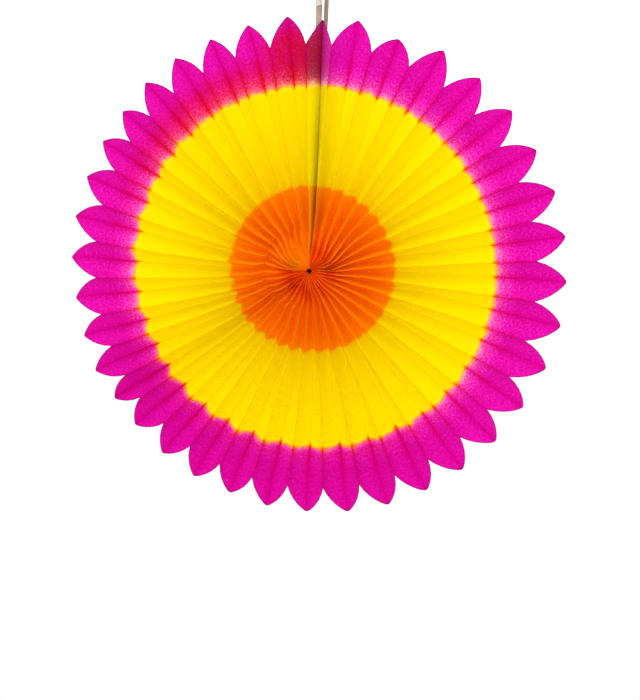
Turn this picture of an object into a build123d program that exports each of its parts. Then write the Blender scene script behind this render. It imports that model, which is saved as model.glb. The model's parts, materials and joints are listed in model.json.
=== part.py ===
from build123d import *
from itertools import accumulate
from math import cos, hypot, radians, sin, sqrt
import os

# Paper flower: one long sheet of tissue paper, pleated with parallel folds, die-cut
# into petals along its outer edge and gathered by a thread along its inner edge.
# A card strip stiffens each end of the sheet, and the two strips stand up behind the
# petal at the seam as the tab that the flower hangs by. A pad sits on one of them.
# The flower stands in the XZ plane, with its front towards -Y and the seam at the top.
# Angles run clockwise from the seam, as seen from the front.

# Driving dimensions, in millimetres and degrees
FLOWER_DIAMETER = 500.0     # across the petal tips, before they are rounded
PETAL_LENGTH = 28.0         # from the notches to the tips
PETAL_BULGE = 3.7           # sagitta of each side of a petal
TIP_ROUNDING = 3.0          # radius of the tips, but for the one at the seam
HUB_RADIUS = 3.0            # inner end of the back folds, where the thread gathers them
FUNNEL_RADIUS = 20.0        # inner end of the front folds, which stand away from the thread
RIM_DEPTH = 5.0             # front to back of the widest pleats at the outer edge of the sheet
PAPER_THICKNESS = 0.15
CUT_MARGIN = 6.0            # sheet beyond the petal tips, which the die cuts away
END_ANGLE = 3.3             # from the seam to the front fold on each side of it
SEAM_GAP = 1.2              # between the two ends of the sheet, at the tips

STRIP_WIDTH = 8.0
STRIP_THICKNESS = 0.8
STRIP_START = 40.0          # distance of the lower end of a strip from the hub
TAB_HEIGHT = 40.0           # strip that shows above the tip of the seam petal
GLUE_GAP = 0.3              # between the paper and the strip behind it

PAD_LENGTH = 19.0
PAD_WIDTH = 7.0
PAD_THICKNESS = 0.7
PAD_RISE = 9.0              # from the petal tip to the lower edge of the pad

# Whole petals in runs from the seam: how many, and the degrees that each spreads to, which
# are scaled to fill the circle. The two ends of the sheet make one more petal.
RUN_COUNTS = [14, 5, 4, 1, 2, 4, 3, 4]
RUN_ANGLES = [10.1, 9.6, 9.25, 7.0, 8.7, 9.8, 8.6, 9.3]

THREAD_DIAMETER = 1.0
THREAD_SIDES = 6
THREAD_CLEARANCE = 0.2      # between the thread and the inner ends of the back folds
THREAD_DEPTH = 8.0          # how far the thread lies behind the middle of the pleats
KNOT_LENGTH = 3.0

# Facets of the twisted panels and strips
BANDS = 10                  # flat bands along a panel
BAND_GROWTH = 1.6           # above 1, the bands are shorter towards the hub

# Sizes worked out from the driving dimensions
TIP_RADIUS = FLOWER_DIAMETER / 2
NOTCH_RADIUS = TIP_RADIUS - PETAL_LENGTH
SHEET_RADIUS = TIP_RADIUS + CUT_MARGIN
PITCHES = [angle for count, angle in zip(RUN_COUNTS, RUN_ANGLES) for _ in range(count)]
FILL = (360 - 2 * END_ANGLE) / sum(PITCHES)
HALF_PITCHES = [radians(pitch * FILL / 2) for pitch in PITCHES]
END_HALF_PITCH = radians(END_ANGLE)
SEAM_HALF_PITCH = (END_HALF_PITCH + sum(HALF_PITCHES) / len(HALF_PITCHES)) / 2
PANEL_WIDTH = hypot(RIM_DEPTH, max(HALF_PITCHES) * SHEET_RADIUS)
SEAM_ANGLE = SEAM_GAP / 2 / TIP_RADIUS
UP = Vector(0, 0, 1)
BACKWARDS = Vector(0, 1, 0)


# A front fold ends in each notch, and a back fold in the tip of each whole petal
FRONT_FOLDS = list(accumulate([2 * half for half in HALF_PITCHES], initial=END_HALF_PITCH))
BACK_FOLDS = [front + half for front, half in zip(FRONT_FOLDS, HALF_PITCHES)]
BETWEEN_PETALS = [(a + b) / 2 for a, b in zip(HALF_PITCHES, HALF_PITCHES[1:])]
FRONT_HALF_PITCHES = [SEAM_HALF_PITCH, *BETWEEN_PETALS, SEAM_HALF_PITCH]


def on_disc(angle, radius, y=0.0):
    """Point at an angle from the seam and a distance from the hub."""
    return Vector(radius * sin(angle), y, radius * cos(angle))


def panel_depth(half_pitch, radius):
    """Front to back of a panel, which flattens outwards as the sheet spreads."""
    return sqrt(PANEL_WIDTH**2 - (half_pitch * radius) ** 2)


def paper_at(angle, radius, crest, half_pitch):
    """Front and back point of the paper on a fold, whose outer edge is at depth crest."""
    mitre = PAPER_THICKNESS * PANEL_WIDTH / (half_pitch * radius)
    inner = crest - mitre if crest > 0 else crest + mitre
    front, back = sorted((crest, inner))
    return on_disc(angle, radius, front), on_disc(angle, radius, back)


def front_fold(index, radius):
    half_pitch = FRONT_HALF_PITCHES[index]
    return paper_at(FRONT_FOLDS[index], radius, -panel_depth(half_pitch, radius) / 2, half_pitch)


def back_fold(index, radius):
    half_pitch = HALF_PITCHES[index]
    return paper_at(BACK_FOLDS[index], radius, panel_depth(half_pitch, radius) / 2, half_pitch)


def end_edge(angle, radius):
    """An end of the sheet, further back than the folds because its panel is steeper."""
    crest = panel_depth(END_HALF_PITCH, radius) - panel_depth(SEAM_HALF_PITCH, radius) / 2
    return paper_at(angle, radius, crest, END_HALF_PITCH)


def band_radii(start, end):
    """Radii of the edges of the flat bands."""
    return [start + (end - start) * (j / BANDS) ** BAND_GROWTH for j in range(BANDS + 1)]


def polygon(*points):
    return Face(Wire.make_polygon(points))


def pleated_sheet():
    """The whole sheet before it is cut, as a closed shell of flat facets."""
    front_radii = band_radii(FUNNEL_RADIUS, SHEET_RADIUS)
    back_radii = band_radii(HUB_RADIUS, SHEET_RADIUS)
    rows = [[end_edge(SEAM_ANGLE, r) for r in back_radii]]
    for index in range(len(BACK_FOLDS)):
        rows.append([front_fold(index, r) for r in front_radii])
        rows.append([back_fold(index, r) for r in back_radii])
    rows.append([front_fold(-1, r) for r in front_radii])
    rows.append([end_edge(-SEAM_ANGLE, r) for r in back_radii])
    faces = []
    for pair in zip(rows, rows[1:]):
        front, back = sorted(pair, key=lambda row: row[0][0].Y)
        for j in range(BANDS):
            for side in (0, 1):
                a, b = front[j][side], back[j][side]
                c, d = back[j + 1][side], front[j + 1][side]
                faces += [polygon(a, b, c), polygon(a, c, d)]
        for j in (0, BANDS):
            faces.append(polygon(front[j][0], front[j][1], back[j][1], back[j][0]))
    for row in (rows[0], rows[-1]):
        faces.append(polygon(*[p[0] for p in row], *[p[1] for p in reversed(row)]))
    return Solid(Shell(faces))


def petal_side(start, end):
    """One side of a petal: an arc that bulges away from the hub."""
    middle = (start + end) / 2
    outward = (end - start).cross(BACKWARDS).normalized()
    if outward.dot(middle) < 0:
        outward = -outward
    return Edge.make_three_point_arc(start, middle + outward * PETAL_BULGE, end)


def petal_die():
    """Prism of the flower's outline, with two arcs to a petal and a rounded tip."""
    tips = [0.0] + BACK_FOLDS
    notches = [FRONT_FOLDS[-1]] + FRONT_FOLDS
    edges = []
    for tip, before, after in zip(tips, notches, notches[1:]):
        point = on_disc(tip, TIP_RADIUS)
        edges.append(petal_side(on_disc(before, NOTCH_RADIUS), point))
        edges.append(petal_side(point, on_disc(after, NOTCH_RADIUS)))
    outline = Face(Wire(edges))
    rounded = [v for v in outline.vertices() if Vector(v).length > NOTCH_RADIUS + PETAL_LENGTH / 2]
    rounded.remove(max(rounded, key=lambda v: v.Z))
    outline = outline.fillet_2d(TIP_ROUNDING, rounded)
    return extrude(outline, amount=PANEL_WIDTH, dir=BACKWARDS, both=True)


def strip_section(radius):
    """Corners of the right-hand strip behind the end panel, front edge first."""
    share = (radius - HUB_RADIUS) / (SHEET_RADIUS - HUB_RADIUS)
    edge = end_edge(SEAM_ANGLE, radius)[1]
    fold = front_fold(0, FUNNEL_RADIUS + share * (SHEET_RADIUS - FUNNEL_RADIUS))[1]
    along = (fold - edge) / hypot(fold.X - edge.X, fold.Y - edge.Y)
    behind = UP.cross(along).normalized()
    if behind.dot(BACKWARDS) < 0:
        behind = -behind
    near = edge + behind * GLUE_GAP
    far = near + along * STRIP_WIDTH
    return near, far, far + behind * STRIP_THICKNESS, near + behind * STRIP_THICKNESS


def card_strip():
    """The right-hand strip: it turns with its panel and runs straight on above the tip."""
    behind_bands = [r for r in band_radii(HUB_RADIUS, SHEET_RADIUS) if STRIP_START < r < TIP_RADIUS]
    sections = [strip_section(r) for r in (STRIP_START, *behind_bands, TIP_RADIUS)]
    sections.append([p + UP * TAB_HEIGHT for p in sections[-1]])
    faces = [polygon(*sections[0]), polygon(*sections[-1])]
    for low, high in zip(sections, sections[1:]):
        for k in range(4):
            a, b = low[k], low[k - 1]
            c, d = high[k - 1], high[k]
            faces += [polygon(a, b, c), polygon(a, c, d)]
    return Solid(Shell(faces))


def tab_plane():
    """Plane on the front of the left-hand strip, at the middle of the pad's lower edge."""
    near, far, _, inside = [Vector(-p.X, p.Y, p.Z) for p in strip_section(TIP_RADIUS)]
    foot = (near + far) / 2 + UP * PAD_RISE
    return Plane(origin=foot, x_dir=UP, z_dir=near - inside)


def adhesive_pad():
    on_tab = Rectangle(PAD_LENGTH, PAD_WIDTH, align=(Align.MIN, Align.CENTER))
    return extrude(tab_plane() * on_tab, amount=PAD_THICKNESS)


def gathering_thread():
    """Loop of thread drawn tight inside the back folds, with its knot filling the middle."""
    loop_radius = HUB_RADIUS - THREAD_CLEARANCE - THREAD_DIAMETER / 2
    section = Plane.XY * Pos(loop_radius, 0) * RegularPolygon(THREAD_DIAMETER / 2, THREAD_SIDES)
    loop = revolve(section, Axis.Y)
    outline = Plane.XZ * RegularPolygon(loop_radius, THREAD_SIDES)
    knot = extrude(outline, KNOT_LENGTH / 2, both=True)
    return Pos(0, THREAD_DEPTH, 0) * (loop + knot)


right_strip = card_strip()
nodes = {
    "pleated_paper": pleated_sheet() & petal_die(),
    "right_card_strip": right_strip,
    "left_card_strip": mirror(right_strip, about=Plane.YZ),
    "adhesive_pad": adhesive_pad(),
    "gathering_thread": gathering_thread(),
}

# The origin is the middle of the pad's front face, which the flower hangs by.
pad_middle = tab_plane() * Pos(PAD_LENGTH / 2, 0, PAD_THICKNESS)
os.makedirs("parts", exist_ok=True)
for name, shape in nodes.items():
    export_step(Pos(-pad_middle.position) * shape, f"parts/{name}.step")

print("hub at", -pad_middle.position)
print("pad faces", tab_plane().z_dir)
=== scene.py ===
import json
from math import hypot, pi, radians

import bpy
import numpy as np
from mathutils import Matrix, Vector


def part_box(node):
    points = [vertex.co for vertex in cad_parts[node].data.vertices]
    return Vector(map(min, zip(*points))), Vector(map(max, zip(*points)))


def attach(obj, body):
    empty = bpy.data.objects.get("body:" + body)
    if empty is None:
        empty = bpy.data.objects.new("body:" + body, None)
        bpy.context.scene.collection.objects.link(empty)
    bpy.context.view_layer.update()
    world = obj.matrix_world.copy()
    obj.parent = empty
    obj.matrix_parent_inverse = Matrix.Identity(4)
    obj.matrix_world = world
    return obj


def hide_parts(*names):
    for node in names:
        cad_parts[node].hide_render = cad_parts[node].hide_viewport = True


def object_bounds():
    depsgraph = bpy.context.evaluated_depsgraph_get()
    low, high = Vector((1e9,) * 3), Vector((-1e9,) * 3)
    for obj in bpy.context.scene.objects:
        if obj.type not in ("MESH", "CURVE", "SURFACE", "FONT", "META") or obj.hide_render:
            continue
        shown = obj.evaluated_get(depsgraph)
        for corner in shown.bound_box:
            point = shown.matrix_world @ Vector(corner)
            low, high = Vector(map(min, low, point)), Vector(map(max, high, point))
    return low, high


# Paper flower: a long sheet of dyed tissue paper, pleated, die-cut into petals and gathered
# at the hub. It hangs by two card strips at its seam, with its front towards -Y.
# The sheet is worked out in millimetres round the hub, with angles clockwise from the seam
# as seen from the front, and is then put into the frame, which is in metres.
# The lines of the sheet are numbered from the seam: an end, front and back folds in turn, an end.
MM = 0.001

# The pleats, as in the frame
TIP_RADIUS = 250.0
PETAL_LENGTH = 28.0
NOTCH_RADIUS = TIP_RADIUS - PETAL_LENGTH
RUN_COUNTS = [14, 5, 4, 1, 2, 4, 3, 4]      # whole petals, in runs from the seam
RUN_ANGLES = [10.1, 9.6, 9.25, 7.0, 8.7, 9.8, 8.6, 9.3]
END_ANGLE = radians(3.3)    # from the seam to the front fold on each side of it
SHEET_RADIUS = 256.0
RIM_DEPTH = 5.0             # front to back of the widest pleats at the sheet's radius
FLATTEST = 0.98             # share of its width that a panel spreads over at most
THREAD_DEPTH = 8.0          # how far the thread lies behind the middle of the pleats
PAPER_THICKNESS = 0.12

# Petals, counted from the seam
PETAL_BULGE = 2.3
SHARP_TIPS = radians(315)   # the tips are sharpest at this angle, and roundest opposite
TIP_ROUNDING = 1.2
TIP_ROUNDING_CHANGE = 0.9
TIP_SPREAD = 0.8            # how much the petals differ in length
TIP_CHANGES = {24: 4.0, 26: -2.0}   # how much longer single petals are
SEAM_BULGE = 0.5
SEAM_ROUNDING = 0.05
SEAM_TIP = -4.0             # the petal at the seam is shorter
BENT_PETAL = 1              # this one has its tip bent forwards
BENT_TIP = -7.0             # and is this much shorter
BEND_RADIUS = 34.0
ARC_POINTS = 80             # along each side of a petal

# How the folds depart from straight lines, as distances along the circle
LEAN = 3.0                  # the folds at the lower left bow counter-clockwise
LEAN_TOWARDS = radians(225)
LEAN_CHANGE = 0.45          # half of how much less the folds bow on the other side
LEAN_FULLNESS = 0.7         # below 1, the bow is fuller towards its ends
DRIFT = 3.0                 # the petals opposite the seam have moved clockwise
HUB_BEND = radians(28)      # how far the upper folds turn away from the seam near the hub
HUB_BEND_REACH = 30.0
VALLEY_BEND_SHARE = 0.4     # the back folds turn less, so the pleats lie over
FREE_FROM = (4.0, 18.0)     # the folds go straight to the hub up to the first of these radii
STRAIGHT_ENDS = 3.5         # the folds are straighter within this many end angles of the seam
KINK_RADIUS = 46.0          # crumpled ring on the left
KINK_SPREAD = 1.2
KINK_REACH = 6.0
KINK_SIZE = 3.2
KINK_DIP = 2.6
KINK_BEHIND = 0.4           # share of the kinks in the back folds
KINK_LEFT = (0.1, 0.6)      # how far to the left they start and are full, in shares of the radius
KINK_PITCH = 0.085          # pleats with a smaller half pitch kink less
WAVE_SIZE = 0.8
WAVE_REACH = 55.0
WAVE_STRIDES = (7.0, 12.5)
LONG_WAVE_SIZE = 0.35
LONG_WAVE_STRIDE = 45.0
CRUMPLE_SIZE = 0.6          # short waves to the left of the seam
CRUMPLE_STRIDE = 2.7
CRUMPLE_RADIUS = 42.0
CRUMPLE_REACH = 20.0
CRUMPLE_TOWARDS = radians(322)
CRUMPLE_POWER = 4
HUB_SHIFT = (-2.2, 0.0, -1.7)       # the folds meet a little off the middle
HUB_SHIFT_REACH = 22.0

# Section of the pleats
HOLLOW = 0.35               # how much the valleys are rounder than the ridges
BOW = 0.35                  # how much the panels bow by chance
BOW_FROM = (20.0, 90.0)     # radii where they start to bow and where they do so fully
DEPTH_SPREAD = 0.05         # how much the pleats differ in depth
HUB_RADIUS = 0.12           # inner end of the back folds
FUNNEL_RADIUS = 19.5        # inner end of the front folds
FUNNEL_SPREAD = 0.8
FUNNEL_CURVE = 1.2
FUNNEL_DIP = 1.0            # how far the inner ends of the front folds sink
FUNNEL_DIP_REACH = 7.0
FUNNEL_CONE = 6.0           # and how much more their inner edges sink towards the hub
NECK_DEPTH = 6.1            # the inner ends of the back folds lie against the thread
NECK = (0.4, 2.6)           # radii between which they come forwards
HUB_DEPTH = -3.0            # to this depth
OPEN_FROM = (0.6 * FUNNEL_RADIUS, 68.0)     # radii between which they go back to their own depth
FAN_DEPTH = -7.5            # depth at the funnel's edge where the pleats lie over
FAN_TOWARDS = radians(315)
SLITS = radians(62), radians(234)   # where the back folds stay deep
SLIT_WIDTH = 0.12           # in radians
SLIT_DEPTH = 7.0
SLIT_FROM = (3.5, 11.0)     # radii where they start and where they are full
PINCH = (16.0, 34.0)        # the two sides of a front fold lie together up to the first radius
PINCH_POWER = 3
CREASE_OPENING = 0.55       # of the paper's thickness, from a front fold to each of its sides
MOST_CLOSED = 0.9
CREASE_SHARE = 0.1          # of a panel, over which its side comes up to the fold

# Mesh of the sheet
STOPS = np.array([0.0, 0.03, 0.08, 0.17, 0.31, 0.48, 0.67, 0.86])  # from a back fold to a front fold
ROWS = 78
ROW_GROWTH = 1.25           # above 1, the rows are closer towards the hub
UV_RADIUS = SHEET_RADIUS    # at the top edge of the paper's own map
BAKE_BLOCKS = 4             # the map for baking has the sheet in this many lengths
BAKE_MARGIN = 0.006

random = np.random.default_rng(11)
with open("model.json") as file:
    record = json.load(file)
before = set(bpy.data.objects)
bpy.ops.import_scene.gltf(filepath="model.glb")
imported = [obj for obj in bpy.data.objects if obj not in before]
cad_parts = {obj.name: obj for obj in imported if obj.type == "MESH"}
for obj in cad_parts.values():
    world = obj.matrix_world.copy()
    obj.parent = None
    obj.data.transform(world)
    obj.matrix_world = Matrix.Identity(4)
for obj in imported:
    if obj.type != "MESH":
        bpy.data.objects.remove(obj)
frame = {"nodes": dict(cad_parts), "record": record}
cad_low, cad_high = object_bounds()

thread_low, thread_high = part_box("gathering_thread")
HUB = (thread_low + thread_high) / 2 - Vector((0, THREAD_DEPTH * MM, 0))


# Meshes and objects

def quads(grid):
    """Four corners of each cell of a grid of values."""
    return np.stack([grid[:-1, :-1], grid[1:, :-1], grid[1:, 1:], grid[:-1, 1:]], axis=2)


def smooth_mesh(name, vertices, grids):
    """Mesh whose faces are the cells of grids of vertex numbers."""
    faces = np.concatenate([quads(grid).reshape(-1, 4) for grid in grids])
    mesh = bpy.data.meshes.new(name)
    mesh.from_pydata(vertices.reshape(-1, 3).tolist(), [], faces.tolist())
    mesh.polygons.foreach_set("use_smooth", np.ones(len(faces), bool))
    return mesh


def add_object(name, data):
    item = bpy.data.objects.new(name, data)
    bpy.context.scene.collection.objects.link(item)
    return item


# Shape of the sheet

def fold_angles():
    """Angles of the lines of the sheet, whose two ends meet at the seam."""
    pitches = np.repeat(RUN_ANGLES, RUN_COUNTS)
    pitches = pitches * (2 * pi - 2 * END_ANGLE) / pitches.sum()
    lines = np.empty(2 * len(pitches) + 3)
    lines[1::2] = END_ANGLE + np.concatenate([[0.0], np.cumsum(pitches)])
    lines[2:-1:2] = lines[1:-2:2] + pitches / 2
    lines[0] = 0.0
    lines[-1] = 2 * pi
    return lines


LINES = fold_angles()
PANELS = len(LINES) - 1
IS_FRONT = np.arange(len(LINES)) % 2 == 1
IS_END = np.isin(np.arange(len(LINES)), (0, PANELS))
AT_SEAM = np.isin(np.arange(len(LINES)), (0, 1, PANELS - 1, PANELS))
HALF_PITCH = np.gradient(LINES)
PANEL_WIDTH = hypot(RIM_DEPTH, np.diff(LINES)[1:-1].max() * SHEET_RADIUS)

# What differs from line to line by chance
WAVE_PHASE = random.uniform(0, 2 * pi, (3, len(LINES)))
KINK_AT = KINK_RADIUS + random.normal(0, KINK_SPREAD, len(LINES))
RIDGE_END = FUNNEL_RADIUS + random.normal(0, FUNNEL_SPREAD, len(LINES))
DEPTH_SHARE = np.where(AT_SEAM, 1.0, 1 + random.normal(0, DEPTH_SPREAD, len(LINES)))
TIPS = random.normal(0, TIP_SPREAD, len(LINES))
for petal, change in TIP_CHANGES.items():
    TIPS[2 * petal + 2] += change
TIPS[[0, -1]] = SEAM_TIP
TIPS[2 * BENT_PETAL + 2] = BENT_TIP
PANEL_BOW = random.normal(0, BOW, PANELS)
PANEL_BOW[[0, -1]] = 0.0


def smooth_step(low, high, x):
    """Rises smoothly from 0 at low to 1 at high."""
    t = np.clip((x - low) / (high - low), 0, 1)
    return t * t * (3 - 2 * t)


def bell(x, width):
    return np.exp(-((x / width) ** 2))


def kink(line, radius):
    """Share of the crumpling on the left, which is most at the ring of kinks."""
    left = smooth_step(*KINK_LEFT, -np.sin(LINES[line])) * np.where(IS_FRONT[line], 1.0, KINK_BEHIND)
    left = left * np.minimum(HALF_PITCH[line] / KINK_PITCH, 1)
    return left * np.exp(-np.abs(radius - KINK_AT[line]) / KINK_REACH)


def waves(line, radius, along):
    """Chance waves in a fold: near the hub, further out, and short ones to the left of the seam."""
    phase = WAVE_PHASE[:, line]
    near_hub = np.sin(radius / WAVE_STRIDES[0] + phase[0]) + np.sin(radius / WAVE_STRIDES[1] + phase[1])
    near_hub = WAVE_SIZE * near_hub * np.exp(-radius / WAVE_REACH)
    outwards = LONG_WAVE_SIZE * np.sin(radius / LONG_WAVE_STRIDE + phase[2]) * along
    crumpled = np.clip(np.cos(LINES[line] - CRUMPLE_TOWARDS), 0, 1) ** CRUMPLE_POWER
    crumpled = CRUMPLE_SIZE * crumpled * bell(radius - CRUMPLE_RADIUS, CRUMPLE_REACH)
    return near_hub + outwards + crumpled * np.sin(radius / CRUMPLE_STRIDE + 2 * phase[2])


def sideways(line, radius):
    """How far a fold lies from its straight line, in millimetres along the circle."""
    angle = LINES[line]
    along = np.clip((radius - FUNNEL_RADIUS) / (NOTCH_RADIUS - FUNNEL_RADIUS), 0, 1)
    free = smooth_step(*FREE_FROM, radius)
    lean_share = 1 - LEAN_CHANGE + LEAN_CHANGE * np.cos(angle - LEAN_TOWARDS)
    lean = -LEAN * lean_share * np.sin(pi * along) ** LEAN_FULLNESS
    turn = HUB_BEND * np.where(np.cos(angle) > 0, np.sin(2 * angle), 0)
    turn = turn * np.where(IS_FRONT[line], 1.0, VALLEY_BEND_SHARE)
    bend = turn * radius * bell(radius, HUB_BEND_REACH)
    crumple = KINK_SIZE * kink(line, radius) + waves(line, radius, along)
    drift = DRIFT * (1 - np.cos(angle)) / 2 * along
    from_seam = np.minimum(angle, 2 * pi - angle)
    straight = smooth_step(END_ANGLE, STRAIGHT_ENDS * END_ANGLE, from_seam)
    return (lean + (bend + crumple) * free + drift) * straight


def panel_depth(half_pitch, radius):
    """Front to back of a panel, which flattens outwards as the sheet spreads."""
    return np.sqrt(PANEL_WIDTH**2 - np.minimum(half_pitch * radius, FLATTEST * PANEL_WIDTH) ** 2)


def fold_depth(line, radius):
    """How far a fold lies behind the middle of the pleats."""
    depth = panel_depth(HALF_PITCH[line], radius) / 2 * DEPTH_SHARE[line]
    dip = FUNNEL_DIP * np.exp(-np.maximum(radius - FUNNEL_RADIUS, 0) / FUNNEL_DIP_REACH)
    dip = dip + KINK_DIP * kink(line, radius) + FUNNEL_CONE * np.maximum(1 - radius / FUNNEL_RADIUS, 0)
    beside_seam = panel_depth(HALF_PITCH[np.clip(line, 1, PANELS - 1)], radius) / 2
    end = panel_depth(END_ANGLE, radius) - beside_seam
    fan = np.clip(np.cos(LINES[line] - FAN_TOWARDS), 0, 1) ** 2 * smooth_step(0, FUNNEL_RADIUS, radius)
    slits = sum(bell(LINES[line] - slit, SLIT_WIDTH) for slit in SLITS)
    hub = HUB_DEPTH + fan * (FAN_DEPTH - HUB_DEPTH)
    hub = hub + SLIT_DEPTH * slits * smooth_step(*SLIT_FROM, radius)
    hub = hub + (NECK_DEPTH - hub) * (1 - smooth_step(*NECK, radius))
    back = hub + smooth_step(*OPEN_FROM, radius) * (np.where(IS_END[line], end, depth) - hub)
    return np.where(IS_FRONT[line], dip - depth, back)


def petal_reach(share, width, length, bulge, rounding):
    """How far the cut edge lies beyond the notches, by share of a panel from the tip's fold."""
    t = np.linspace(1, 0, ARC_POINTS)
    swell = 4 * bulge * t * (1 - t) / hypot(width, length)
    aside = width * (1 - t) + swell * length
    out = length * t + swell * width
    soft = np.hypot(share * width, rounding) - rounding
    return np.interp(soft * width / (hypot(width, rounding) - rounding), aside, out)


def cut_radius(panel, share):
    """Radius of the cut edge at a share of a panel from its back fold to its front fold."""
    tip = panel + IS_FRONT[panel]
    width = abs(LINES[panel + 1] - LINES[panel]) * NOTCH_RADIUS
    rounding = TIP_ROUNDING - TIP_ROUNDING_CHANGE * np.cos(LINES[tip] - SHARP_TIPS)
    bulge = PETAL_BULGE
    if IS_END[tip]:
        rounding = SEAM_ROUNDING
        bulge = SEAM_BULGE
    return NOTCH_RADIUS + petal_reach(share, width, PETAL_LENGTH + TIPS[tip], bulge, rounding)


def columns_of_sheet():
    """Panel of each column of the mesh, and its share from the back fold to the front fold."""
    falling = np.append(STOPS, 1.0)[:0:-1]
    shares = [falling if IS_FRONT[panel] else STOPS for panel in range(PANELS)]
    panels = np.repeat(np.arange(PANELS), len(STOPS))
    return np.append(panels, PANELS - 1), np.append(np.concatenate(shares), 0.0)


def sheet_grid():
    """Points of the middle of the paper by column and row, with its place on the sheet."""
    panel, share = columns_of_sheet()
    edge = np.array([cut_radius(p, s) for p, s in zip(panel, share)])[:, None]
    front = (panel + ~IS_FRONT[panel])[:, None]
    back = (panel + IS_FRONT[panel])[:, None]
    s = share[:, None]
    inner = HUB_RADIUS + (RIDGE_END[front] - HUB_RADIUS) * s**FUNNEL_CURVE
    radius = inner + (edge - inner) * (np.arange(ROWS + 1) / ROWS) ** ROW_GROWTH

    front_angle = LINES[front] + sideways(front, radius) / radius
    span = LINES[back] + sideways(back, radius) / radius - front_angle
    angle = front_angle + span * share_from_ridge(s, radius, span, RIDGE_END[front])

    hollow = HOLLOW * ~(IS_END[front] | IS_END[back])
    rise = (1 - hollow) * s + hollow * s**2
    depth = fold_depth(back, radius) + rise * (fold_depth(front, radius) - fold_depth(back, radius))
    reach, depth = bend_tip(panel[:, None], radius, depth)
    points = np.stack([reach * np.sin(angle), depth, reach * np.cos(angle)], axis=-1)
    bow = PANEL_BOW[panel][:, None] * np.sin(pi * s) * smooth_step(*BOW_FROM, radius)
    points = points + bow[..., None] * grid_normals(points)
    points = points + bell(radius, HUB_SHIFT_REACH)[..., None] * np.array(HUB_SHIFT)
    across = np.where(IS_FRONT[panel], panel + 1 - share, panel + share)
    return points, np.broadcast_to(across[:, None], radius.shape), radius, edge - radius


def share_from_ridge(s, radius, span, ridge_end):
    """Share of a panel's angle from its front fold. Near the hub, the fold's sides lie together."""
    closed = PAPER_THICKNESS * CREASE_OPENING / np.maximum(np.abs(span) * radius, PAPER_THICKNESS)
    closed = np.minimum(closed, MOST_CLOSED) * np.minimum((1 - s) / CREASE_SHARE, 1)
    reached = np.clip((radius - HUB_RADIUS) / (ridge_end - HUB_RADIUS), 1e-6, 1)
    opened = np.maximum(1 - s / reached ** (1 / FUNNEL_CURVE), 0) ** PINCH_POWER
    pinched = closed + (1 - closed) * opened
    pinch = 1 - smooth_step(*PINCH, radius)
    return pinch * pinched + (1 - pinch) * (1 - s)


def bend_tip(panel, radius, depth):
    """Rolls the outer part of the bent petal towards the front."""
    bent = np.abs(panel - (2 * BENT_PETAL + 1.5)) < 1
    turn = np.where(bent, np.maximum(radius - NOTCH_RADIUS, 0), 0) / BEND_RADIUS
    shorter = BEND_RADIUS * (turn - np.sin(turn))
    return radius - shorter, depth - BEND_RADIUS * (1 - np.cos(turn))


def grid_normals(points):
    normals = np.cross(np.gradient(points, axis=0), np.gradient(points, axis=1))
    return normals / np.maximum(np.linalg.norm(normals, axis=-1, keepdims=True), 1e-9)


def pleated_sheet():
    """Closed mesh of the sheet: two faces of the paper and the cut edges between them."""
    points, across, radius, rim = sheet_grid()
    columns, rows = radius.shape
    offset = grid_normals(points) * PAPER_THICKNESS / 2
    sides = np.stack([points - offset, points + offset])
    index = np.arange(sides[..., 0].size).reshape(sides.shape[:3])
    place = np.stack([across, radius, rim, np.zeros_like(radius)], axis=-1)
    behind = place + np.array([0, 0, 0, 1.0])
    edge_place = np.stack([place, place])

    grids = [index[0], index[1][::-1]]
    places = [place, behind[::-1]]
    for row, turn in ((0, 1), (rows - 1, -1)):
        grids.append(index[:, :, row][::turn])
        places.append(edge_place[:, :, row][::turn])
    for column, turn in ((0, -1), (columns - 1, 1)):
        grids.append(index[:, column][::turn])
        places.append(edge_place[:, column][::turn])

    mesh = smooth_mesh("dyed_pleated_sheet", sides * MM + np.array(HUB), grids)
    crease_folds(mesh, columns, rows)
    add_maps(mesh, np.concatenate([quads(values).reshape(-1, 4) for values in places]))
    mesh.validate()
    mesh.update()
    return add_object("dyed_pleated_sheet", mesh)


def crease_folds(mesh, columns, rows):
    """Keeps the shading crisp along every fold and cut edge."""
    ends = np.empty(2 * len(mesh.edges), np.int32)
    mesh.edges.foreach_get("vertices", ends)
    ends = ends.reshape(-1, 2)
    column = ends // rows % columns
    row = ends % rows
    on_fold = (column[:, 0] == column[:, 1]) & (column[:, 0] % len(STOPS) == 0)
    on_edge = (row[:, 0] == row[:, 1]) & np.isin(row[:, 0], (0, rows - 1))
    sharp = mesh.attributes.new("sharp_edge", "BOOLEAN", "EDGE")
    sharp.data.foreach_set("value", on_fold | on_edge)


def add_maps(mesh, places):
    """The paper's own maps, and one for baking with the two faces of the paper side by side."""
    across, radius, rim, side = places.T
    panels_in_block = PANELS // BAKE_BLOCKS
    middle = np.repeat(across.reshape(-1, 4).mean(axis=1), 4)
    block = np.floor(middle / panels_in_block)
    u = (side + BAKE_MARGIN + (1 - 2 * BAKE_MARGIN) * (across / panels_in_block - block)) / 2
    v = (block + BAKE_MARGIN + (1 - 2 * BAKE_MARGIN) * radius / UV_RADIUS) / BAKE_BLOCKS
    maps = {
        "OFBake": (u, v),
        "paper": (across / PANELS, radius / UV_RADIUS),
        "rim": (rim / UV_RADIUS, side),
    }
    for name, values in maps.items():
        layer = mesh.uv_layers.new(name=name)
        layer.uv.foreach_set("vector", np.stack(values, axis=1).astype(np.float32).ravel())


# Pad on the tab

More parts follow.
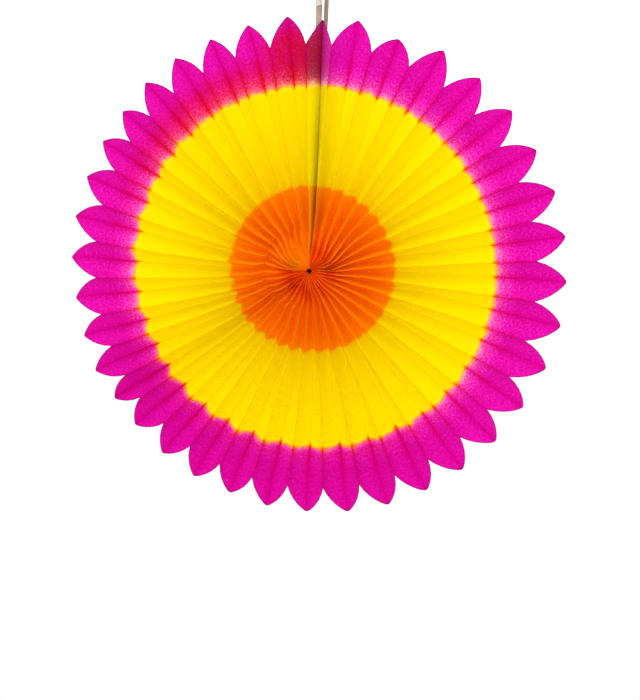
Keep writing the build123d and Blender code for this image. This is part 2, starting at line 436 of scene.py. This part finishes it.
PAD_LENGTH = 19.0
PAD_WIDTH = 7.0
PAD_THICKNESS = 0.7
PAD_ROUNDING = 0.3
PAD_SLANT = 1.3             # how much lower its lower edge is on the outer side
PAD_LIP = 0.35              # how far the lower edge lifts off the strip
PAD_LIP_LENGTH = 3.0
PAD_LIP_BEHIND = 0.6        # share of the lift on the back of the pad
PAD_BORDER = [1.0, 2.0]     # rows of the mesh inside its rounded edges
PAD_MIDDLE = np.linspace(-6, 6, 13)
PAD_EDGE_ROWS = 9


def pad_across_tab():
    """Directions across, up and out from the face of the pad, whose middle is the origin."""
    out = Vector(frame["record"]["mounts"][0]["axis"])
    up = Vector((0, 0, 1))
    return up.cross(out), up, out


def soft_pad():
    """Foam pad with rounded edges, a lower edge cut at a slant and a lifted lip."""
    ease = np.sin(np.linspace(0, 1, PAD_EDGE_ROWS) * pi / 2)
    border = np.concatenate([PAD_ROUNDING * (1 - ease[::-1]), PAD_BORDER])
    xs = np.concatenate([border - PAD_WIDTH / 2, (PAD_WIDTH / 2 - border)[::-1]])
    zs = np.concatenate([border - PAD_LENGTH / 2, PAD_MIDDLE, (PAD_LENGTH / 2 - border)[::-1]])
    x, z = np.meshgrid(xs, zs, indexing="ij")
    inset = np.minimum(PAD_WIDTH / 2 - np.abs(x), PAD_LENGTH / 2 - np.abs(z))
    drop = np.clip(1 - inset / PAD_ROUNDING, 0, 1)
    lower = smooth_step(-PAD_LENGTH / 2 + PAD_LIP_LENGTH, -PAD_LENGTH / 2, z)
    top = -PAD_ROUNDING * (1 - np.sqrt(1 - drop**2)) + PAD_LIP * lower
    bottom = -PAD_THICKNESS + PAD_LIP * PAD_LIP_BEHIND * lower
    slant = PAD_SLANT * lower * (x / PAD_WIDTH + 0.5)
    across, up, out = (np.array(d) for d in pad_across_tab())

    def layer(depth):
        return (x[..., None] * across + (z + slant)[..., None] * up + depth[..., None] * out) * MM

    sides = np.stack([layer(top), layer(bottom)])
    index = np.arange(sides[..., 0].size).reshape(sides.shape[:3])
    faces = [index[0], index[1][::-1]]
    edges = [index[:, :, 0], index[:, :, -1][::-1], index[:, 0][::-1], index[:, -1]]
    mesh = smooth_mesh("foam_pad", sides, faces + edges)
    mesh.update()
    return add_object("foam_pad", mesh)


# Materials

class Nodes:
    """Short names for building one material's nodes."""

    def __init__(self, name):
        self.material = bpy.data.materials.new(name)
        self.material.use_nodes = True
        self.tree = self.material.node_tree
        self.tree.nodes.clear()

    def add(self, kind, *inputs, **settings):
        node = self.tree.nodes.new(kind)
        for key, value in settings.items():
            setattr(node, key, value)
        for socket, value in zip(node.inputs, inputs):
            self.put(value, socket)
        return node

    def put(self, value, socket):
        if isinstance(value, bpy.types.NodeSocket):
            self.tree.links.new(value, socket)
        else:
            socket.default_value = value

    def math(self, operation, *inputs):
        return self.add("ShaderNodeMath", *inputs, operation=operation).outputs[0]

    def times(self, a, b):
        return self.math("MULTIPLY", a, b)

    def scaled(self, value, factor, shift=0.0):
        return self.math("MULTIPLY_ADD", value, factor, shift)

    def rest(self, value):
        """What is left of 1."""
        return self.math("SUBTRACT", 1.0, value)

    def step(self, value, low, high):
        """Rises smoothly from 0 at low to 1 at high."""
        node = self.add("ShaderNodeMapRange", interpolation_type="SMOOTHSTEP")
        self.put(value, node.inputs["Value"])
        node.inputs["From Min"].default_value = low
        node.inputs["From Max"].default_value = high
        return node.outputs[0]

    def fall(self, value, low, high):
        """Falls smoothly from 1 at low to 0 at high."""
        return self.rest(self.step(value, low, high))

    def noise(self, place, scale, detail=2.0, roughness=0.5):
        node = self.add("ShaderNodeTexNoise")
        self.put(place, node.inputs["Vector"])
        node.inputs["Scale"].default_value = scale
        node.inputs["Detail"].default_value = detail
        node.inputs["Roughness"].default_value = roughness
        return node.outputs["Fac"]

    def combine(self, x, y):
        return self.add("ShaderNodeCombineXYZ", x, y, 0.0).outputs[0]

    def uv(self, name):
        """The two coordinates of a map."""
        place = self.add("ShaderNodeUVMap", uv_map=name).outputs[0]
        return self.add("ShaderNodeSeparateXYZ", place).outputs[:2]

    def dye(self, colour, density):
        """A dye's colour, and a painted shade's, at a density, where 0 is bare paper."""
        node = self.add("ShaderNodeGamma")
        node.inputs["Color"].default_value = (*colour, 1.0)
        self.put(density, node.inputs["Gamma"])
        return node.outputs[0]

    def dyed(self, colour, dye, density):
        """A colour with one more dye, or painted shade, on it."""
        film = self.dye(dye, density)
        return self.add("ShaderNodeVectorMath", colour, film, operation="MULTIPLY").outputs[0]

    def principled(self, colour, roughness, normal, specular):
        node = self.add("ShaderNodeBsdfPrincipled")
        self.put(colour, node.inputs["Base Color"])
        self.put(normal, node.inputs["Normal"])
        node.inputs["Roughness"].default_value = roughness
        node.inputs["Specular IOR Level"].default_value = specular
        return node.outputs[0]

    def bump(self, height, distance):
        node = self.add("ShaderNodeBump")
        self.put(height, node.inputs["Height"])
        node.inputs["Distance"].default_value = distance
        return node.outputs[0]

    def finish(self, shader):
        output = self.add("ShaderNodeOutputMaterial")
        self.tree.links.new(shader, output.inputs["Surface"])
        return self.material


# Dyes and painted shades at full density, on white paper
YELLOW = (0.947, 0.825, 0.001)
ORANGE = (1.0, 0.52, 0.004)
MAGENTA = (0.785, 0.008, 0.50)
CREASE_SHADE_AND_STREAKS = (0.93, 0.84, 0.8)      # painted shade along the folds, with faint streaks of tone
CREVICE_PAINTED_SHADE = (0.84, 0.16, 0.3)     # painted shade deep in the folds round the hub
SEAM_PAINTED_SHADE = (0.92, 0.95, 0.8)  # painted shade where the petals beside the seam overlap its strips
STRIP_PAINTED_SHADE = (0.58, 0.5, 0.6)  # painted shade where the strips lie behind the end panels
CUT_SHADE = (0.5, 0.25, 0.5)    # along the cut edges
GAP_PAINTED_SHADE = (0.55, 0.3, 0.2)    # painted shade along the gap between the glued ends, and in the middle of the hub

# Rings of the dyes and painted shades in millimetres from the hub, a pair being where a change starts
# and ends
ORANGE_RADIUS = 83.2
ORANGE_FADE = 4.5
ORANGE_WANDER = 5.0             # how far its border strays
PINK_RADIUS = 181.5
PINK_WANDER = 7.0
HUB_PAINTED_SHADE = (0.2, 1.4)           # painted shade in the very middle of the hub
HUB_REACH = (16.0, 36.0)        # painted shade: more orange inside
CREVICE_REACH = (14.0, 46.0)
VALLEY_REACH = (40.0, 84.0)     # painted shade: more orange along the back folds inside
STRIP_PAINTED_SHADE_FROM = (95.0, 130.0)      # painted shade of the right end panel, in the yellow
WRINKLES_FROM = (110.0, 150.0)
YELLOW_RUN = (190.0, 224.0)     # where the yellow that has run out on the left ends
SEAM_RUN = (220.0, 247.0)       # and where it ends beside the seam
CUT_EDGE = (0.3, 1.4)           # from the cut edge inwards

# The same, from the border of the pink
PINK_RISE = (-2.5, 9.0)
PINK_WEAK = (2.0, 28.0)         # where the pink is weak at first and then no longer
YELLOW_FALL = (-6.0, 4.0)
YELLOW_TAIL = (6.0, 20.0)       # where the last faint yellow ends
PETAL_FROM = (0.0, 12.0)

# Stretches along the sheet, by the numbers of its lines
LOWER_FROM = (24.0, 32.0)       # pleats in the lower part of the flower
LOWER_TO = (46.0, 54.0)
LAIN_OVER_FROM = (55.0, 62.0)   # pleats that lie over at the hub
LEFT_FROM = (57.0, 68.0)        # petals to the left of the seam that the yellow has run over
SEAM_RUN_FROM = (71.5, 74.5)
SEAM_SHADE_FROM = (72.4, 73.6)
SEAM_SHADE_TO = (0.6, 1.0)
END_PANEL = (0.85, 1.05)        # from either end of the sheet
END_EDGE = (0.003, 0.025)

# Powers that narrow the bands along the folds
ON_FOLD = 14.0
NEAR_FOLD = 6.0
ON_CREASE = 60.0

# Noises, in waves for each millimetre
BLOTCH_SCALE = 0.09
MOTTLE_SCALE = 0.45
TISSUE_FIBRE_SCALE = 1.6

# Long noises, in waves for each line across them and each millimetre outwards
STREAK_SCALES = (12.0, 0.04)
WRINKLE_SCALES = (0.7, 0.16)

# Finish of the tissue
TRANSLUCENCY = 0.6
SEAM_TRANSLUCENCY = 0.12        # of the end panels, which are glued to the strips
TISSUE_RELIEF = 0.00018         # in metres, as all reliefs are
TISSUE_ROUGHNESS = 0.85
TISSUE_SPECULAR = 0.02


class Sheet:
    """Places on the sheet that the dyes and painted shades follow, in lines and millimetres, and noises
    on it.
    """

    def __init__(self, n):
        across, out = n.uv("paper")
        self.line = n.times(across, float(PANELS))
        self.radius = n.times(out, UV_RADIUS)
        self.rim = n.times(n.uv("rim")[0], UV_RADIUS)

        # Folds: narrow and wide bands along them
        front = n.math("PINGPONG", self.line, 1.0)
        self.back = n.rest(front)
        self.on_front = n.math("POWER", front, ON_FOLD)
        self.on_back = n.math("POWER", self.back, ON_FOLD)
        self.near_front = n.math("POWER", front, NEAR_FOLD)
        self.near_back = n.math("POWER", self.back, NEAR_FOLD)
        creases = n.math("POWER", front, ON_CREASE), n.math("POWER", self.back, ON_CREASE)
        self.on_crease = n.math("ADD", *creases)

        # Parts of the flower
        self.lower = n.times(n.step(self.line, *LOWER_FROM), n.fall(self.line, *LOWER_TO))
        self.lain_over = n.step(self.line, *LAIN_OVER_FROM)
        to_end = n.math("MINIMUM", self.line, n.math("SUBTRACT", float(PANELS), self.line))
        self.seam = n.fall(to_end, *END_PANEL)
        # Painted shade in the middle of the hub and along the gap between the ends at the seam
        hub_spot_painted_shade = n.times(n.fall(self.radius, *HUB_PAINTED_SHADE), 0.7)
        self.end = n.math("MAXIMUM", hub_spot_painted_shade, n.fall(to_end, *END_EDGE))
        # Painted shade deep in the back folds round the hub, less where the pleats lie over
        painted_crevice_shade = n.times(n.math("POWER", self.back, 3.0), n.fall(self.radius, *CREVICE_REACH))
        self.painted_crevice_shade = n.times(painted_crevice_shade, n.scaled(self.lain_over, -0.85, 1.0))

        # Noises
        place = n.combine(n.times(self.line, PANEL_WIDTH), self.radius)
        self.blotch = n.noise(place, BLOTCH_SCALE)
        self.mottle = n.noise(place, MOTTLE_SCALE, 4.0, 0.65)
        self.fibre = n.noise(place, TISSUE_FIBRE_SCALE, 2.0, 0.6)
        self.streak = n.noise(self.stretched(n, STREAK_SCALES), 1.0, 3.0, 0.6)

        # Distance beyond the border of the pink, which strays
        wander = n.scaled(self.blotch, PINK_WANDER, -PINK_WANDER / 2)
        self.beyond = n.math("SUBTRACT", n.math("SUBTRACT", self.radius, PINK_RADIUS), wander)
        self.petal = n.step(self.beyond, *PETAL_FROM)

    def stretched(self, n, scales):
        """Place for a noise that is longer one way than the other."""
        return n.combine(n.times(self.line, scales[0]), n.times(self.radius, scales[1]))


def orange_density(n, at):
    """The orange dye, made denser along the front folds, in the valleys and at the hub as painted shade
    that darkens the ridges and reddens the grooves.
    """
    edge = n.scaled(at.blotch, ORANGE_WANDER, at.radius)
    edge = n.scaled(at.on_front, 1.2, edge)
    density = n.fall(edge, ORANGE_RADIUS, ORANGE_RADIUS + ORANGE_FADE)
    valley_painted_shade = n.times(at.back, n.fall(at.radius, *VALLEY_REACH))
    hub_orange_painted_shade = n.times(n.fall(at.radius, *HUB_REACH), n.scaled(at.lain_over, -0.25, 0.25))
    # Painted shade: denser orange along the ridges, in the valleys and at the hub
    folds = n.scaled(valley_painted_shade, 0.4, n.scaled(at.on_front, 0.5, 0.95))
    return n.times(density, n.math("ADD", folds, hub_orange_painted_shade))


def magenta_density(n, at):
    """The pink dye creeps inwards along the folds, more along the back ones, and is weak inside."""
    beyond = n.scaled(at.on_back, 3.5, n.scaled(at.on_front, 2.5, at.beyond))
    weak = n.times(n.fall(beyond, *PINK_WEAK), n.scaled(at.lower, -0.2, 0.52))
    folds = n.scaled(at.near_front, 0.18, n.times(at.near_back, 0.32))
    speckle = n.scaled(n.step(at.fibre, 0.3, 0.7), -0.28, 1.42)
    speckle = n.scaled(n.step(at.mottle, 0.3, 0.7), -0.62, speckle)
    # Painted shade: the pink is denser on the lower pleats, darker towards the bottom
    speckle = n.scaled(at.lower, 0.12, speckle)
    density = n.math("ADD", n.math("SUBTRACT", speckle, weak), folds)
    density = n.times(density, n.scaled(at.seam, -0.27, 1.0))
    return n.times(n.math("MAXIMUM", density, 0.2), n.step(beyond, *PINK_RISE))


def yellow_density(n, at, orange):
    """The yellow dye runs out along the folds and left of the seam, and is weak under the orange."""
    edge = n.scaled(at.on_back, -3.0, n.scaled(at.on_front, -6.0, at.beyond))
    tail = n.times(n.fall(at.beyond, *YELLOW_TAIL), 0.03)
    density = n.math("MAXIMUM", n.fall(edge, *YELLOW_FALL), tail)
    left = n.step(at.line, *LEFT_FROM)
    fold = n.scaled(at.on_front, 0.2, n.times(at.near_back, 0.16))
    fold = n.times(fold, n.scaled(left, 0.6, 0.4))
    run = n.times(n.scaled(left, 0.12, fold), n.fall(at.radius, *YELLOW_RUN))
    density = n.math("MAXIMUM", density, run)
    seam = n.times(n.step(at.line, *SEAM_RUN_FROM), n.fall(at.radius, *SEAM_RUN))
    seam = n.times(seam, n.scaled(n.step(at.streak, 0.3, 0.65), 0.2, 0.06))
    density = n.math("MAXIMUM", density, n.scaled(at.seam, 0.04, seam))
    return n.times(density, n.math("MAXIMUM", n.scaled(orange, -0.75, 1.0), 0.25))


def seam_painted_shade(n, at):
    """Painted shade on the petals on each side of the seam, where the strips lie behind them."""
    beside = n.math("MAXIMUM", n.step(at.line, *SEAM_SHADE_FROM), n.fall(at.line, *SEAM_SHADE_TO))
    return n.times(beside, at.petal)


def strip_painted_shade(n, at):
    """Painted shade of the strips behind the end panels: the left one in its petal alone, the right one
    also in the yellow.
    """
    right = n.fall(at.line, *END_PANEL)
    left = n.math("SUBTRACT", at.seam, right)
    in_yellow = n.times(n.step(at.radius, *STRIP_PAINTED_SHADE_FROM), 0.3)
    return n.scaled(left, at.petal, n.times(right, n.scaled(at.petal, 0.25, in_yellow)))


def tissue_relief(n, at):
    """Grain of the tissue, with faint wrinkles across the lower pleats."""
    grain = n.scaled(at.mottle, 0.6, n.times(at.fibre, 0.4))
    wrinkle = n.noise(at.stretched(n, WRINKLE_SCALES), 1.0)
    wrinkle = n.math("ABSOLUTE", n.scaled(wrinkle, 2.0, -1.0))
    wrinkle = n.fall(wrinkle, 0.0, 0.12)
    lower = n.times(at.lower, n.step(at.radius, *WRINKLES_FROM))
    grain = n.scaled(n.times(wrinkle, lower), 0.9, grain)
    return n.bump(n.scaled(at.streak, 1.2, grain), TISSUE_RELIEF)


# Dyed tissue, with painted shade along the folds, round the hub, beside the seam and in the middle of
# the hub
def dyed_tissue():
    n = Nodes("dyed_tissue")
    at = Sheet(n)
    orange = orange_density(n, at)
    colour = n.dye(YELLOW, yellow_density(n, at, orange))
    colour = n.dyed(colour, MAGENTA, magenta_density(n, at))
    colour = n.dyed(colour, ORANGE, orange)
    colour = n.dyed(colour, CUT_SHADE, n.fall(at.rim, *CUT_EDGE))
    # painted shade along the folds, with faint streaks of tone
    colour = n.dyed(colour, CREASE_SHADE_AND_STREAKS, n.scaled(n.step(at.streak, 0.55, 0.75), 0.3, at.on_crease))
    # painted shade of the gap at the seam and of the hub's middle
    colour = n.dyed(colour, GAP_PAINTED_SHADE, at.end)
    # painted shade deep in the folds round the hub
    colour = n.dyed(colour, CREVICE_PAINTED_SHADE, at.painted_crevice_shade)
    # painted shade of the strips behind the petals beside the seam
    colour = n.dyed(colour, SEAM_PAINTED_SHADE, seam_painted_shade(n, at))
    # painted shade of the strips behind the end panels
    colour = n.dyed(colour, STRIP_PAINTED_SHADE, strip_painted_shade(n, at))
    normal = tissue_relief(n, at)
    front = n.principled(colour, TISSUE_ROUGHNESS, normal, TISSUE_SPECULAR)
    through = n.add("ShaderNodeBsdfTranslucent", colour, normal).outputs[0]
    translucency = n.scaled(at.seam, SEAM_TRANSLUCENCY - TRANSLUCENCY, TRANSLUCENCY)
    return n.finish(n.add("ShaderNodeMixShader", translucency, front, through).outputs[0])


# Card, foam and thread
PAD_COLOUR = (0.67, 0.64, 0.58)
PAD_RELIEF = 0.00008
CARD_COLOUR = (0.46, 0.36, 0.29)
# painted shade: a darker copy of the card for the right strip, which lies in shadow
PAINTED_SHADE_CARD_COLOUR = (0.27, 0.20, 0.15)
CARD_RELIEF = 0.0001
THREAD_COLOUR = (0.85, 0.80, 0.72)
THREAD_RELIEF = 0.0002
FIBRE_SCALE = 900.0         # in waves for each metre
CLOUD_SCALE = 120.0


def card(name, colour, relief):
    """Card, foam or thread: a flecked colour and a fine grain."""
    n = Nodes(name)
    place = n.add("ShaderNodeTexCoord").outputs["Object"]
    fibre = n.noise(place, FIBRE_SCALE, 3.0, 0.6)
    cloud = n.noise(place, CLOUD_SCALE)
    tint = n.dye(colour, n.scaled(fibre, 0.5, n.scaled(cloud, 0.7, 0.4)))
    return n.finish(n.principled(tint, 0.85, n.bump(fibre, relief), 0.2))


def dress(node, material):
    slots = frame["nodes"][node].data.materials
    slots.clear()
    slots.append(material)


# Studio

# Camera, as fitted to the photograph
CAMERA_DISTANCE = 1.45
TOWARDS_CAMERA = Vector((0.15566, -0.97905, 0.13136))
CAMERA_UP = Vector((-0.05754, 0.12378, 0.99069))
PICTURE_WIDTH = 640
PICTURE_HEIGHT = 700
PICTURE_SCALE = 1.004       # pixels for a millimetre at the hub
HUB_PIXEL = (311.7, 269.4)
SENSOR_MM = 36.0

# Lights and floor, in metres
TOWARDS_KEY = Vector((-0.3, -1.1, 1.6))
KEY_SIZE = 1.2
KEY_WATTS = 12.0
WORLD_STRENGTH = 1.55
WHITE = (1.0, 1.0, 1.0, 1.0)
FLOOR_REACH = 20.0
FLOOR_DROP = 0.5            # from the lowest petal


def add_camera():
    data = bpy.data.cameras.new("camera")
    camera = add_object("camera", data)
    right = CAMERA_UP.cross(TOWARDS_CAMERA)
    turn = Matrix((right, CAMERA_UP, TOWARDS_CAMERA)).transposed()
    camera.matrix_world = Matrix.Translation(HUB + TOWARDS_CAMERA * CAMERA_DISTANCE) @ turn.to_4x4()
    data.sensor_fit = "HORIZONTAL"
    data.sensor_width = SENSOR_MM
    data.lens = SENSOR_MM * CAMERA_DISTANCE * PICTURE_SCALE / (PICTURE_WIDTH * MM)
    data.shift_x = (PICTURE_WIDTH / 2 - HUB_PIXEL[0]) / PICTURE_WIDTH
    data.shift_y = -(PICTURE_HEIGHT / 2 - HUB_PIXEL[1]) / PICTURE_WIDTH
    bpy.context.scene.camera = camera


def add_lights():
    data = bpy.data.lights.new("key", "AREA")
    data.size = KEY_SIZE
    data.energy = KEY_WATTS
    key = add_object("key", data)
    key.location = HUB + TOWARDS_KEY
    key.rotation_euler = (-TOWARDS_KEY).to_track_quat("-Z", "Y").to_euler()
    world = bpy.data.worlds.new("studio")
    world.use_nodes = True
    background = world.node_tree.nodes["Background"]
    background.inputs["Color"].default_value = WHITE
    background.inputs["Strength"].default_value = WORLD_STRENGTH
    bpy.context.scene.world = world


def add_floor():
    level = cad_low.z - FLOOR_DROP
    signs = ((-1, -1), (1, -1), (1, 1), (-1, 1))
    corners = [(FLOOR_REACH * x, FLOOR_REACH * y, level) for x, y in signs]
    mesh = bpy.data.meshes.new("floor")
    mesh.from_pydata(corners, [], [(0, 1, 2, 3)])
    n = Nodes("white_floor")
    mesh.materials.append(n.finish(n.add("ShaderNodeEmission", WHITE, 1.0).outputs[0]))
    add_object("floor", mesh)


sheet = pleated_sheet()
sheet.data.materials.append(dyed_tissue())
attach(sheet, "root")
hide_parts("pleated_paper")

pad = soft_pad()
pad.data.materials.append(card("white_pad", PAD_COLOUR, PAD_RELIEF))
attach(pad, "root")
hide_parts("adhesive_pad")

dress("left_card_strip", card("grey_card", CARD_COLOUR, CARD_RELIEF))
# the right strip gets the darker copy of the card, as painted shade
dress("right_card_strip", card("grey_card_painted_shade", PAINTED_SHADE_CARD_COLOUR, CARD_RELIEF))
dress("gathering_thread", card("thread", THREAD_COLOUR, THREAD_RELIEF))

add_camera()
add_lights()
add_floor()
bpy.context.scene.view_settings.view_transform = "Standard"
